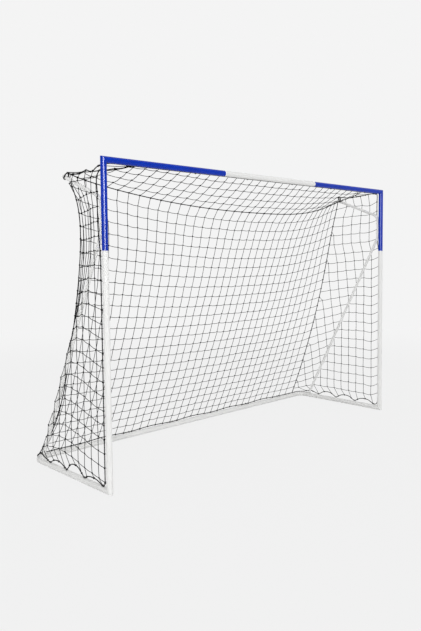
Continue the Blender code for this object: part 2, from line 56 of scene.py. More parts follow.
def addCamera():
    view = cameraView
    azimuth, pitch, roll = (math.radians(view[key]) for key in ("azimuth", "pitch", "roll"))
    forward = Vector((math.sin(azimuth) * math.cos(pitch), math.cos(azimuth) * math.cos(pitch), math.sin(pitch)))
    level = forward.cross(Vector((0, 0, 1))).normalized()
    upright = level.cross(forward)
    right = level * math.cos(roll) + upright * math.sin(roll)
    up = upright * math.cos(roll) - level * math.sin(roll)
    width, height = view["pictureSize"]
    data = bpy.data.cameras.new("camera")
    data.sensor_width = 36
    data.lens = 36 * view["focalPixels"] / height
    data.shift_y = -(height / 2 - view["centreRow"]) / height
    data.clip_start = 0.05
    data.clip_end = 200
    camera = bpy.data.objects.new("camera", data)
    camera.matrix_world = Matrix.Translation(view["place"]) @ Matrix((right, up, -forward)).transposed().to_4x4()
    scene.collection.objects.link(camera)
    scene.camera = camera


addCamera()
scene.view_settings.view_transform = "Standard"


# Sizes that the source of the part also uses
goalSize = {"width": 3.0, "height": 2.0, "depth": 0.95, "tube": 0.038}
tubeRadius = goalSize["tube"] / 2
postX = (goalSize["width"] - goalSize["tube"]) / 2
rearY = (goalSize["depth"] - goalSize["tube"]) / 2
mouthY = -rearY
barZ = goalSize["height"] - tubeRadius
supportRadius = 0.011
supportBackY = mouthY + tubeRadius + 0.0003 + supportRadius
lowKneeZ = 1.573
highKneeZ = 1.765
armTip = Vector((postX, mouthY + 0.443, 1.927))
supportFootY = rearY - 0.109
seamZ = 1.455
elbowRadius = 0.08
ropeX = 1.4962                                   # of the ropes at the outer side of the frame
hookReach = 0.0061
ropeOnTubeZ = 0.0421
rearRopeTopZ = 0.0536
topRopeY = mouthY + 0.463


# Shading groups, each built once
def newGroup(name, inputs, outputs):
    group = bpy.data.node_groups.new(name, "ShaderNodeTree")
    for label, value in inputs.items():
        socket = group.interface.new_socket(label, in_out="INPUT", socket_type="NodeSocketFloat")
        socket.default_value = value
    for label in outputs:
        group.interface.new_socket(label, in_out="OUTPUT", socket_type="NodeSocketFloat")
    return group, group.nodes.new("NodeGroupInput"), group.nodes.new("NodeGroupOutput")


def addMath(tree, operation, first, second=None, third=None, clamp=False):
    node = tree.nodes.new("ShaderNodeMath")
    node.operation = operation
    node.use_clamp = clamp
    for socket, value in zip(node.inputs, (first, second, third)):
        if isinstance(value, bpy.types.NodeSocket):
            tree.links.new(value, socket)
        elif value is not None:
            socket.default_value = value
    return node.outputs[0]


def addNoise(tree, vector, scale, detail=2.0, roughness=0.5):
    node = tree.nodes.new("ShaderNodeTexNoise")
    tree.links.new(vector, node.inputs["Vector"])
    for label, value in (("Scale", scale), ("Detail", detail), ("Roughness", roughness)):
        if isinstance(value, bpy.types.NodeSocket):
            tree.links.new(value, node.inputs[label])
        else:
            node.inputs[label].default_value = value
    return node.outputs["Fac"]


def addRamp(tree, factor, stops):
    node = tree.nodes.new("ShaderNodeValToRGB")
    while len(node.color_ramp.elements) < len(stops):
        node.color_ramp.elements.new(0.5)
    for element, (place, colour) in zip(node.color_ramp.elements, stops):
        element.position = place
        element.color = (*colour, 1.0) if isinstance(colour, tuple) else (colour, colour, colour, 1.0)
    tree.links.new(factor, node.inputs["Fac"])
    return node.outputs["Color"]


def buildPaintGroup():
    # Sprayed paint: fine orange peel, cloudy film, rubbed specks and short scratches
    group, start, end = newGroup("sprayedPaint", {"Peel Scale": 420.0, "Scuffs": 0.5}, ("Film", "Scuff", "Height"))
    place = group.nodes.new("ShaderNodeTexCoord").outputs["Object"]
    film = addNoise(group, place, 7.0, 3.0)
    peel = addNoise(group, place, start.outputs["Peel Scale"], 1.0)
    patches = addNoise(group, place, 11.0, 4.0, 0.6)
    specks = addNoise(group, place, 190.0, 3.0, 0.7)
    stretched = group.nodes.new("ShaderNodeMapping")
    stretched.inputs["Scale"].default_value = (60.0, 9.0, 14.0)
    stretched.inputs["Rotation"].default_value = (0.3, 0.5, 0.2)
    group.links.new(place, stretched.inputs["Vector"])
    lines = addNoise(group, stretched.outputs["Vector"], 9.0, 2.0, 0.6)
    rubbed = addMath(group, "MULTIPLY", addMath(group, "SUBTRACT", patches, 0.52), 6.0, clamp=True)
    speckled = addMath(group, "MULTIPLY", addMath(group, "SUBTRACT", specks, 0.62), 9.0, clamp=True)
    scratched = addMath(group, "MULTIPLY", addMath(group, "SUBTRACT", lines, 0.66), 12.0, clamp=True)
    marks = addMath(group, "MAXIMUM", speckled, scratched)
    scuff = addMath(group, "MULTIPLY", addMath(group, "MULTIPLY", marks, rubbed), start.outputs["Scuffs"], clamp=True)
    height = addMath(group, "SUBTRACT", addMath(group, "MULTIPLY", peel, 0.6), scuff)
    group.links.new(film, end.inputs["Film"])
    group.links.new(scuff, end.inputs["Scuff"])
    group.links.new(height, end.inputs["Height"])
    return group


def buildStrandGroup():
    # Laid strands of a cord: the attribute holds the place round the cord and along it
    group, start, end = newGroup("laidStrands", {"Strands": 3.0, "Lay": 0.03}, ("Strand", "Fibre", "Height"))
    laid = group.nodes.new("ShaderNodeAttribute")
    laid.attribute_name = "cordPlace"
    split = group.nodes.new("ShaderNodeSeparateXYZ")
    group.links.new(laid.outputs["Vector"], split.inputs[0])
    angle = addMath(group, "ARCTAN2", split.outputs["Y"], split.outputs["X"])
    turns = addMath(group, "DIVIDE", split.outputs["Z"], start.outputs["Lay"])
    twist = addMath(group, "MULTIPLY", turns, 2 * math.pi)
    phase = addMath(group, "MULTIPLY", addMath(group, "SUBTRACT", angle, twist), start.outputs["Strands"])
    strand = addMath(group, "ABSOLUTE", addMath(group, "SINE", addMath(group, "MULTIPLY", phase, 0.5)))
    fine = addMath(group, "SINE", addMath(group, "MULTIPLY", phase, 6.0))
    place = group.nodes.new("ShaderNodeTexCoord").outputs["Object"]
    fuzz = addNoise(group, place, 900.0, 2.0, 0.7)
    fibre = addMath(group, "ADD", addMath(group, "MULTIPLY", fine, 0.25), fuzz)
    height = addMath(group, "ADD", strand, addMath(group, "MULTIPLY", fibre, 0.3))
    group.links.new(strand, end.inputs["Strand"])
    group.links.new(fibre, end.inputs["Fibre"])
    group.links.new(height, end.inputs["Height"])
    return group


def buildGrainGroup():
    # Moulded or plated surface: fine grain and a slow blotch
    group, start, end = newGroup("fineGrain", {"Grain Scale": 600.0, "Blotch Scale": 40.0}, ("Grain", "Blotch"))
    place = group.nodes.new("ShaderNodeTexCoord").outputs["Object"]
    group.links.new(addNoise(group, place, start.outputs["Grain Scale"], 2.0, 0.6), end.inputs["Grain"])
    group.links.new(addNoise(group, place, start.outputs["Blotch Scale"], 3.0, 0.6), end.inputs["Blotch"])
    return group


paintGroup = buildPaintGroup()
strandGroup = buildStrandGroup()
grainGroup = buildGrainGroup()


def newMaterial(name, group, values):
    material = bpy.data.materials.new(name)
    material.use_nodes = True
    tree = material.node_tree
    shader = tree.nodes["Principled BSDF"]
    pattern = tree.nodes.new("ShaderNodeGroup")
    pattern.node_tree = group
    for label, value in values.items():
        pattern.inputs[label].default_value = value
    return material, tree, shader, pattern


def addBump(tree, shader, height, strength, distance):
    bump = tree.nodes.new("ShaderNodeBump")
    bump.inputs["Strength"].default_value = strength
    bump.inputs["Distance"].default_value = distance
    tree.links.new(height, bump.inputs["Height"])
    tree.links.new(bump.outputs["Normal"], shader.inputs["Normal"])


def paintMaterial(name, look):
    material, tree, shader, pattern = newMaterial(name, paintGroup, {"Scuffs": look["scuffs"]})
    film = addRamp(tree, pattern.outputs["Film"], [(0.3, look["shade"]), (0.7, look["colour"])])
    mix = tree.nodes.new("ShaderNodeMix")
    mix.data_type = "RGBA"
    tree.links.new(pattern.outputs["Scuff"], mix.inputs["Factor"])
    tree.links.new(film, mix.inputs["A"])
    mix.inputs["B"].default_value = (*look["scuffColour"], 1.0)
    tree.links.new(mix.outputs["Result"], shader.inputs["Base Color"])
    rough = addMath(tree, "MULTIPLY_ADD", pattern.outputs["Scuff"], 0.3, look["roughness"])
    tree.links.new(rough, shader.inputs["Roughness"])
    shader.inputs["Specular IOR Level"].default_value = look["specular"]
    addBump(tree, shader, pattern.outputs["Height"], look["peel"], 0.0004)
    return material


paintLooks = {
    "blue": {"colour": (0.0, 0.034, 0.46), "shade": (0.0, 0.028, 0.40), "scuffColour": (0.03, 0.09, 0.5),
             "roughness": 0.24, "specular": 0.15, "peel": 0.03, "scuffs": 0.35},
    "white": {"colour": (0.87, 0.87, 0.86), "shade": (0.84, 0.84, 0.83), "scuffColour": (0.66, 0.65, 0.62),
              "roughness": 0.3, "specular": 0.03, "peel": 0.05, "scuffs": 0.4},
}
bluePaint = paintMaterial("blue_paint_finish", paintLooks["blue"])
whitePaint = paintMaterial("white_paint_finish", paintLooks["white"])


def grainMaterial(name, look):
    material, tree, shader, pattern = newMaterial(name, grainGroup, {"Grain Scale": look["grainScale"]})
    colour = addRamp(tree, pattern.outputs["Blotch"], [(0.35, look["dark"]), (0.65, look["light"])])
    tree.links.new(colour, shader.inputs["Base Color"])
    rough = addMath(tree, "MULTIPLY_ADD", pattern.outputs["Grain"], look["roughSpread"], look["roughness"])
    tree.links.new(rough, shader.inputs["Roughness"])
    shader.inputs["Metallic"].default_value = look["metal"]
    addBump(tree, shader, pattern.outputs["Grain"], look["bump"], 0.0002)
    return material


grainLooks = {
    "zinc": {"dark": (0.42, 0.43, 0.44), "light": (0.62, 0.63, 0.65), "grainScale": 900.0, "roughness": 0.22,
             "roughSpread": 0.3, "metal": 1.0, "bump": 0.15},
    "cap": {"dark": (0.74, 0.74, 0.72), "light": (0.8, 0.8, 0.78), "grainScale": 1400.0, "roughness": 0.35,
            "roughSpread": 0.2, "metal": 0.0, "bump": 0.25},
    "hook": {"dark": (0.012, 0.012, 0.012), "light": (0.025, 0.025, 0.026), "grainScale": 1500.0,
             "roughness": 0.35, "roughSpread": 0.25, "metal": 0.0, "bump": 0.3},
}
zincFinish = grainMaterial("zinc_finish", grainLooks["zinc"])
capFinish = grainMaterial("cap_plastic_finish", grainLooks["cap"])
hookFinish = grainMaterial("hook_plastic_finish", grainLooks["hook"])


def cordMaterial(name, look):
    material, tree, shader, pattern = newMaterial(name, strandGroup, {"Strands": look["strands"], "Lay": look["lay"]})
    strand = addMath(tree, "MULTIPLY", pattern.outputs["Strand"], 0.6)
    shade = addMath(tree, "MULTIPLY_ADD", pattern.outputs["Fibre"], 0.35, strand)
    # The colour runs from painted shade in the hollows between the strands (the groove colour) to the cord's own
    # colour on the strand tops
    colour = addRamp(tree, shade, [(0.1, look["grooveShade"]), (0.8, look["colour"])])
    tree.links.new(colour, shader.inputs["Base Color"])
    rough = addMath(tree, "MULTIPLY_ADD", pattern.outputs["Fibre"], 0.25, look["roughness"])
    tree.links.new(rough, shader.inputs["Roughness"])
    shader.inputs["Specular IOR Level"].default_value = look["specular"]
    addBump(tree, shader, pattern.outputs["Height"], look["relief"], look["depth"])
    return material


# groove is painted shade for the hollows between the strands; colour is the cord's own black
cordLooks = {
    "net": {"strands": 3.0, "lay": 0.012, "grooveShade": (0.003, 0.003, 0.003), "colour": (0.012, 0.012, 0.013),
            "roughness": 0.7, "specular": 0.05, "relief": 0.7, "depth": 0.0006},
    "rope": {"strands": 4.0, "lay": 0.028, "grooveShade": (0.004, 0.004, 0.004), "colour": (0.016, 0.016, 0.017),
             "roughness": 0.7, "specular": 0.05, "relief": 0.8, "depth": 0.0008},
}
netFinish = cordMaterial("net_cord_finish", cordLooks["net"])
ropeFinish = cordMaterial("rope_finish", cordLooks["rope"])


def setMaterial(thing, material):
    thing.data.materials.clear()
    thing.data.materials.append(material)


def dressFrame():
    finishes = (("corner_tube", bluePaint), ("crossbar_middle", whitePaint), ("post_and_runner", whitePaint),
                ("rear_elbow", whitePaint), ("rear_bar", whitePaint), ("side_support", whitePaint),
                ("support_cap", capFinish), ("support_screw", zincFinish), ("spring_button", zincFinish),
                ("net_hook", hookFinish))
    for name, node in nodes.items():
        for start, finish in finishes:
            if name.startswith(start):
                setMaterial(node, finish)


dressFrame()
print("goal: frame painted")


# Geometry Nodes
def newTree(name, floats, extras=()):
    tree = bpy.data.node_groups.new(name, "GeometryNodeTree")
    tree.interface.new_socket("Geometry", in_out="INPUT", socket_type="NodeSocketGeometry")
    for label, value in floats.items():
        socket = tree.interface.new_socket(label, in_out="INPUT", socket_type="NodeSocketFloat")
        socket.default_value = value
    for label, kind in extras:
        tree.interface.new_socket(label, in_out="INPUT", socket_type=kind)
    tree.interface.new_socket("Geometry", in_out="OUTPUT", socket_type="NodeSocketGeometry")
    return tree, tree.nodes.new("NodeGroupInput"), tree.nodes.new("NodeGroupOutput")


def join(tree, output, target):
    tree.links.new(output, target)


def combineXyz(tree, x=0.0, y=0.0, z=0.0):
    node = tree.nodes.new("ShaderNodeCombineXYZ")
    for socket, value in zip(node.inputs, (x, y, z)):
        if isinstance(value, bpy.types.NodeSocket):
            tree.links.new(value, socket)
        else:
            socket.default_value = value
    return node.outputs[0]


def namedAttribute(tree, name, kind="FLOAT"):
    node = tree.nodes.new("GeometryNodeInputNamedAttribute")
    node.data_type = kind
    node.inputs["Name"].default_value = name
    return node.outputs["Attribute"]


def storeNamed(tree, geometry, name, value, kind="FLOAT"):
    node = tree.nodes.new("GeometryNodeStoreNamedAttribute")
    node.data_type = kind
    node.domain = "POINT"
    node.inputs["Name"].default_value = name
    join(tree, geometry, node.inputs["Geometry"])
    join(tree, value, node.inputs["Value"])
    return node.outputs["Geometry"]


def sweep(tree, curve, diameter, sides, lobes=None):
    # A round or lobed section along a curve, with the place round and along it kept for the finish
    length = tree.nodes.new("GeometryNodeSplineParameter").outputs["Length"]
    curve = storeNamed(tree, curve, "cordLength", length)
    section = tree.nodes.new("GeometryNodeCurvePrimitiveCircle")
    section.inputs["Resolution"].default_value = sides
    section.inputs["Radius"].default_value = 1.0
    turn = addMath(tree, "MULTIPLY", tree.nodes.new("GeometryNodeSplineParameter").outputs["Factor"], 2 * math.pi)
    profile = storeNamed(tree, section.outputs["Curve"], "cordAngle", turn)
    grow = addMath(tree, "MULTIPLY", diameter, 0.5)
    if lobes:
        wave = addMath(tree, "COSINE", addMath(tree, "MULTIPLY", namedAttribute(tree, "cordAngle"), float(lobes)))
        grow = addMath(tree, "MULTIPLY", grow, addMath(tree, "MULTIPLY_ADD", wave, 0.13, 0.9))
    scaled = tree.nodes.new("GeometryNodeSetPosition")
    join(tree, profile, scaled.inputs["Geometry"])
    stretch = tree.nodes.new("ShaderNodeVectorMath")
    stretch.operation = "SCALE"
    join(tree, tree.nodes.new("GeometryNodeInputPosition").outputs[0], stretch.inputs[0])
    join(tree, grow, stretch.inputs["Scale"])
    join(tree, stretch.outputs[0], scaled.inputs["Position"])
    swept = tree.nodes.new("GeometryNodeCurveToMesh")
    swept.inputs["Fill Caps"].default_value = True
    join(tree, curve, swept.inputs["Curve"])
    join(tree, scaled.outputs["Geometry"], swept.inputs["Profile Curve"])
    angle = namedAttribute(tree, "cordAngle")
    place = combineXyz(tree, addMath(tree, "COSINE", angle), addMath(tree, "SINE", angle),
                       namedAttribute(tree, "cordLength"))
    mesh = storeNamed(tree, swept.outputs["Mesh"], "cordPlace", place, "FLOAT_VECTOR")
    smooth = tree.nodes.new("GeometryNodeSetShadeSmooth")
    join(tree, mesh, smooth.inputs["Geometry"])
    return smooth.outputs["Geometry"]


def finishTree(tree, parts, start, end):
    joined = tree.nodes.new("GeometryNodeJoinGeometry")
    for part in parts:
        join(tree, part, joined.inputs["Geometry"])
    realised = tree.nodes.new("GeometryNodeRealizeInstances")
    join(tree, joined.outputs["Geometry"], realised.inputs["Geometry"])
    finish = tree.nodes.new("GeometryNodeSetMaterial")
    join(tree, realised.outputs["Geometry"], finish.inputs["Geometry"])
    join(tree, start.outputs["Finish"], finish.inputs["Material"])
    join(tree, finish.outputs["Geometry"], end.inputs["Geometry"])
    return tree


def buildNetTree():
    # Chains of edges become cords that sag between their knots, loose points become knots
    tree, start, end = newTree("knottedNet", {"Cord Diameter": 0.003, "Sag": 0.004, "Slack": 0.004, "Slack Size": 0.13,
                                              "Knot Size": 0.0075, "Seed": 0.0},
                               (("Finish", "NodeSocketMaterial"),))
    curves = tree.nodes.new("GeometryNodeMeshToCurve")
    join(tree, start.outputs["Geometry"], curves.inputs["Mesh"])
    finer = tree.nodes.new("GeometryNodeSubdivideCurve")
    finer.inputs["Cuts"].default_value = 2
    join(tree, curves.outputs["Curve"], finer.inputs["Curve"])
    between = addMath(tree, "FRACT", namedAttribute(tree, "along"))
    arch = addMath(tree, "MULTIPLY", between, addMath(tree, "SUBTRACT", 1.0, between))
    depth = addMath(tree, "MULTIPLY", addMath(tree, "MULTIPLY", arch, 4.0), namedAttribute(tree, "slack"))
    down = addMath(tree, "MULTIPLY", addMath(tree, "MULTIPLY", depth, start.outputs["Sag"]), -1.0)

    def wander(strength):
        # The same drift for the cords and the knots at a place, because it reads the place itself
        drift = tree.nodes.new("ShaderNodeTexNoise")
        drift.noise_dimensions = "4D"
        drift.inputs["Detail"].default_value = 1.0
        join(tree, tree.nodes.new("GeometryNodeInputPosition").outputs[0], drift.inputs["Vector"])
        join(tree, start.outputs["Seed"], drift.inputs["W"])
        join(tree, addMath(tree, "DIVIDE", 1.0, start.outputs["Slack Size"]), drift.inputs["Scale"])
        centred = tree.nodes.new("ShaderNodeVectorMath")
        centred.operation = "SUBTRACT"
        join(tree, drift.outputs["Color"], centred.inputs[0])
        centred.inputs[1].default_value = (0.5, 0.5, 0.5)
        sized = tree.nodes.new("ShaderNodeVectorMath")
        sized.operation = "SCALE"
        join(tree, centred.outputs[0], sized.inputs[0])
        join(tree, strength, sized.inputs["Scale"])
        return sized.outputs[0]

    twice = addMath(tree, "MULTIPLY", start.outputs["Slack"], 2.0)
    free = addMath(tree, "MULTIPLY", twice, namedAttribute(tree, "slack"))
    drift = wander(free)
    both = tree.nodes.new("ShaderNodeVectorMath")
    both.operation = "ADD"
    join(tree, drift, both.inputs[0])
    join(tree, combineXyz(tree, 0.0, 0.0, down), both.inputs[1])
    hung = tree.nodes.new("GeometryNodeSetPosition")
    join(tree, finer.outputs["Curve"], hung.inputs["Geometry"])
    join(tree, both.outputs[0], hung.inputs["Offset"])
    cords = sweep(tree, hung.outputs["Geometry"], start.outputs["Cord Diameter"], 5)

    points = tree.nodes.new("GeometryNodeMeshToPoints")
    join(tree, start.outputs["Geometry"], points.inputs["Mesh"])
    join(tree, namedAttribute(tree, "isKnot", "BOOLEAN"), points.inputs["Selection"])
    moved = tree.nodes.new("GeometryNodeSetPosition")
    join(tree, points.outputs["Points"], moved.inputs["Geometry"])
    join(tree, drift, moved.inputs["Offset"])
    coil = tree.nodes.new("GeometryNodeCurveSpiral")
    coil.inputs["Resolution"].default_value = 7
    coil.inputs["Rotations"].default_value = 1.6
    join(tree, addMath(tree, "MULTIPLY", start.outputs["Knot Size"], 0.3), coil.inputs["Start Radius"])
    join(tree, addMath(tree, "MULTIPLY", start.outputs["Knot Size"], 0.36), coil.inputs["End Radius"])
    join(tree, addMath(tree, "MULTIPLY", start.outputs["Knot Size"], 0.55), coil.inputs["Height"])
    knotCord = addMath(tree, "MULTIPLY", start.outputs["Knot Size"], 0.42)
    centredCoil = tree.nodes.new("GeometryNodeTransform")
    join(tree, coil.outputs["Curve"], centredCoil.inputs["Geometry"])
    join(tree, combineXyz(tree, 0.0, 0.0, addMath(tree, "MULTIPLY", start.outputs["Knot Size"], -0.27)),
         centredCoil.inputs["Translation"])
    knot = sweep(tree, centredCoil.outputs["Geometry"], knotCord, 4)
    turned = tree.nodes.new("FunctionNodeRandomValue")
    turned.data_type = "FLOAT_VECTOR"
    turned.inputs["Min"].default_value = (0.0, 0.0, 0.0)
    turned.inputs["Max"].default_value = (6.283, 6.283, 6.283)
    placed = tree.nodes.new("GeometryNodeInstanceOnPoints")
    join(tree, moved.outputs["Geometry"], placed.inputs["Points"])
    join(tree, knot, placed.inputs["Instance"])
    join(tree, turned.outputs[0], placed.inputs["Rotation"])
    join(tree, namedAttribute(tree, "knotScale"), placed.inputs["Scale"])
    return finishTree(tree, (cords, placed.outputs["Instances"]), start, end)


def buildRopeTree():
    # A laid rope: a lobed section that turns as it runs along the path
    tree, start, end = newTree("laidRope", {"Diameter": 0.007, "Lay": 0.028, "Step": 0.004},
                               (("Finish", "NodeSocketMaterial"),))
    curves = tree.nodes.new("GeometryNodeMeshToCurve")
    join(tree, start.outputs["Geometry"], curves.inputs["Mesh"])
    resampled = tree.nodes.new("GeometryNodeResampleCurve")
    resampled.mode = "LENGTH"
    join(tree, curves.outputs["Curve"], resampled.inputs["Curve"])
    join(tree, start.outputs["Step"], resampled.inputs["Length"])
    tilted = tree.nodes.new("GeometryNodeSetCurveTilt")
    join(tree, resampled.outputs["Curve"], tilted.inputs["Curve"])
    length = tree.nodes.new("GeometryNodeSplineParameter").outputs["Length"]
    turn = addMath(tree, "MULTIPLY", addMath(tree, "DIVIDE", length, start.outputs["Lay"]), 2 * math.pi)
    join(tree, turn, tilted.inputs["Tilt"])
    rope = sweep(tree, tilted.outputs["Curve"], start.outputs["Diameter"], 8, lobes=4)
    return finishTree(tree, (rope,), start, end)


netTree = buildNetTree()
ropeTree = buildRopeTree()


def socketId(tree, label):
    for item in tree.interface.items_tree:
        if item.item_type == "SOCKET" and item.in_out == "INPUT" and item.name == label:
            return item.identifier


def grow(name, mesh, tree, values):
    # Runs a tree on a mesh and keeps the result as a plain mesh
    source = bpy.data.objects.new(name + "_source", mesh)
    scene.collection.objects.link(source)
    modifier = source.modifiers.new("grow", "NODES")
    modifier.node_group = tree
    for label, value in values.items():
        modifier[socketId(tree, label)] = value
    view = bpy.context.evaluated_depsgraph_get()
    made = bpy.data.meshes.new_from_object(source.evaluated_get(view))
    bpy.data.objects.remove(source)
    made.name = name
    thing = bpy.data.objects.new(name, made)
    scene.collection.objects.link(thing)
    print("goal:", name, len(made.polygons), "faces")
    return thing


# Net surfaces. Down runs from 0 at the top rope to 1 at the bottom rope, share from -1 to 1 between the corner ropes.
# The two sides hang differently, as the photograph shows them
backNet = {
    "rows": 24, "columns": range(-17, 20),
    "evenness": 0.23,                            # how much closer the rows lie towards the ground
    "phase": -0.064, "lean": -0.187, "topShift": 0.046,     # the columns lean to one side on their way down
    "bow": 0.05, "cornerBow": 0.075,             # how far the middle and the edges hang forward
    "cornerPull": 0.14, "cornerPullReach": 0.08,
    "cornerForward": 0.06,
    "lowest": 0.25,                              # where along its length the top rope hangs lowest
    "lowestZ": 1.772,
}
cornerLook = {
    -1: {"spread": 0.12, "late": 14, "forwardReach": 0.13, "curve": 2.2, "endZ": 1.947,
         "tie": (1.474, mouthY + 0.402, 1.938), "top": (1.474, mouthY + 0.402, 1.938),
         "pitch": 0.0783, "topPitch": 0.0165, "cells": 15.4, "topCells": 1.8, "squeeze": 8},
    1: {"spread": 0.01, "late": 6, "forwardReach": 0.05, "curve": 3.0, "endZ": 1.93,
        "tie": (1.474, mouthY + 0.442, 1.966), "top": (1.480, mouthY + 0.460, 1.930),
        "pitch": 0.0780, "topPitch": 0.0115, "cells": 19.1, "topCells": 0.0, "squeeze": 4},
}
rearHooks = {"reach": postX - 0.361, "count": 6, "lift": 0.008, "elbowFrom": 1.401, "elbowRadius": 0.104}
sideRows = 22                                    # between the bottom rope and the top side rope
sideNet = {
    -1: {"foot": 0.075, "pitch": 0.0862, "first": 0.067, "cell": 0.078, "closer": 0.0009, "rise": 0.093, "dip": 0.0},
    1: {"foot": 0.150, "pitch": 0.0832, "first": 0.073, "cell": 0.082, "closer": 0.0, "rise": 0.0, "dip": 0.022},
}
topNet = {
    "columns": range(-16, 19),
    # Where the rows lie between the crossbar, 0, and the top rope, 1
    "left": (0.07, 0.28, 0.51, 0.77), "middle": (0.15, 0.345, 0.565, 0.78),
    "barShift": -0.173, "barPitch": 0.0835, "barSpread": 0.00038,
    "bunchAt": {-1: (-13.0, -1.21), 1: (16.0, 1.2)},        # the column that the gathering starts at, and its X
    "sag": 0.004, "bunchSag": 0.006, "bunchThick": 0.0036,
}


def smoothStep(low, high, value):
    t = min(1.0, max(0.0, (value - low) / (high - low)))
    return t * t * (3 - 2 * t)


def topRopeHeight(share):
    look = cornerLook[1 if share > backNet["lowest"] else -1]
    end = 1.0 if share > backNet["lowest"] else -1.0
    away = (share - backNet["lowest"]) / (end - backNet["lowest"])
    return backNet["lowestZ"] + (look["endZ"] - backNet["lowestZ"]) * away ** look["curve"]


def backHalfWidth(side, down):
    pull = backNet["cornerPull"] * (1 - math.exp(-down / backNet["cornerPullReach"]))
    return postX - pull + cornerLook[side]["spread"] * down ** cornerLook[side]["late"]


def rearRopeAt(x):
    # Y and Z of the bottom rope on the rear bar and elbows; it lifts a little between two hooks
    lift = 0.0
    if abs(x) < rearHooks["reach"]:
        gaps = (1 - x / rearHooks["reach"]) * (rearHooks["count"] - 1) / 2
        lift = rearHooks["lift"] * math.sin(math.pi * gaps) ** 2
    past = max(0.0, abs(x) - rearHooks["elbowFrom"])
    turn = rearHooks["elbowRadius"]
    return rearY + hookReach - turn + math.sqrt(turn * turn - past * past), ropeOnTubeZ + lift


def backPoint(share, down):
    side = 1 if share > 0 else -1
    edge = abs(share)
    bow = backNet["bow"] + (backNet["cornerBow"] - backNet["bow"]) * edge ** 4
    look = cornerLook[side]
    forward = backNet["cornerForward"] * edge ** 8 * (1 - math.exp(-down / look["forwardReach"])) * (1 - down)
    forward += (topRopeY - look["top"][1]) * edge ** 14 * math.exp(-down / 0.03)
    y = topRopeY + (rearY - topRopeY) * down - bow * 4 * down * (1 - down) - forward
    z = topRopeHeight(share) + (rearRopeTopZ - topRopeHeight(share)) * down
    x = share * backHalfWidth(side, down)
    # The lowest meshes run out to the rope as it lies
    ropeY, ropeZ = rearRopeAt(x)
    settled = smoothStep(0.9, 1.0, down)
    return Vector((x, y + (ropeY - rearY) * settled, z + (ropeZ - rearRopeTopZ) * settled))


def downAt(row):
    t = row / backNet["rows"]
    return t + backNet["evenness"] * t * t * (1 - t)


def columnX(column, down):
    # None where the column has already run into the corner rope
    side = 1 if column > 0 else -1
    look = cornerLook[side]
    phase = backNet["phase"] + backNet["lean"] * down + backNet["topShift"] * math.exp(-down / 0.035)
    pitch = look["pitch"] + look["topPitch"] * math.exp(-down / 0.2)
    cells = look["cells"] + look["topCells"] * math.exp(-down / 0.04)
    if abs(column) > cells - 0.3:
        return None
    reach = backHalfWidth(side, down) - side * phase
    u = abs(column) / cells
    loose = pitch * cells / reach
    return phase + side * reach * (loose * u + (1 - loose) * u ** look["squeeze"])


def backNode(column, row):
    down = downAt(row)
    x = columnX(column, down)
    if x is None:
        return None
    return backPoint(x / backHalfWidth(1 if x > 0 else -1, down), down)


def sideCorner(side, row):
    # Where a side row, counted from the bottom rope, is tied to the corner rope
    t = 1 - row / (sideRows + 1)
    return backPoint(float(side), t + 0.5 * t ** 3 * (1 - t))


def mouthRopeY(height):
    behindSupport = supportBackY + supportRadius + 0.007
    behindPost = mouthY + tubeRadius + 0.0073
    slack = (lowKneeZ - height) / (lowKneeZ - seamZ)
    return behindSupport + (behindPost - behindSupport) * min(1.0, max(0.0, slack))


supportFoot = Vector((postX, supportFootY, 0.0398))
supportRising = (Vector((postX, supportBackY, lowKneeZ)) - supportFoot).normalized()
armDirection = (armTip - Vector((postX, supportBackY, highKneeZ))).normalized()


def supportRearEdge(height):
    if height < lowKneeZ:
        centre = supportFoot.y + supportRising.y / supportRising.z * (height - supportFoot.z)
        return max(centre, supportBackY) + supportRadius / supportRising.z
    rise = max(0.0, height - highKneeZ)
    arm = supportBackY + armDirection.y / armDirection.z * rise
    return arm + supportRadius / armDirection.z * min(1.0, rise / supportRadius)


def mirrored(point, side):
    return Vector((point.x * side, point.y, point.z))


def smoothPath(points, steps):
    path = []
    padded = [points[0] * 2 - points[1], *points, points[-1] * 2 - points[-2]]
    for index in range(1, len(padded) - 2):
        a, b, c, d = padded[index - 1:index + 3]
        for step in range(steps):
            t = step / steps
            path.append(((b * 2) + (c - a) * t + (a * 2 - b * 5 + c * 4 - d) * t ** 2
                         + (b * 3 - a - c * 3 + d) * t ** 3) / 2)
    path.append(points[-1])
    return path


def pathLength(path):
    return sum((b - a).length for a, b in zip(path, path[1:]))


def pointAlong(path, distance):
    for a, b in zip(path, path[1:]):
        step = (b - a).length
        if distance <= step:
            return a.lerp(b, distance / step if step else 0.0)
        distance -= step
    return path[-1].copy()


# Routes of the border ropes
hookSpacing = 0.21
runnerHooks = [mouthY + 0.06 + hookSpacing * number for number in range(4)]
ropeRoute = {
    # Lifts: how far the net draws the rope up between two hooks
    -1: {"lifts": (0.026, 0.058, 0.034), "tail": 0.045, "mouthZ": 0.068},
    1: {"lifts": (0.034, 0.036, 0.036), "tail": 0.02, "mouthZ": 0.074},
}


def runnerRoute(side):
    look = ropeRoute[side]
    hookX = postX + hookReach
    points = [Vector((ropeX, mouthRopeY(0.1), look["mouthZ"])),
              Vector((ropeX, runnerHooks[0] - 0.02, ropeOnTubeZ + 0.006))]
    for here, lift in zip(runnerHooks, look["lifts"]):
        points.append(Vector((hookX, here, ropeOnTubeZ)))
        for t, part in ((0.13, 0.35), (0.3, 0.85), (0.52, 1.0), (0.74, 0.8), (0.9, 0.3)):
            points.append(Vector((hookX + 0.004 * part, here + hookSpacing * t, ropeOnTubeZ + lift * part)))
    points.append(Vector((hookX, runnerHooks[-1], ropeOnTubeZ)))
    points.append(Vector((ropeX, runnerHooks[-1] + 0.06, ropeOnTubeZ + look["tail"] * 0.55)))
    points.append(Vector((ropeX, supportFootY - 0.005, ropeOnTubeZ + look["tail"])))
    return smoothPath([mirrored(point, side) for point in points], 3)


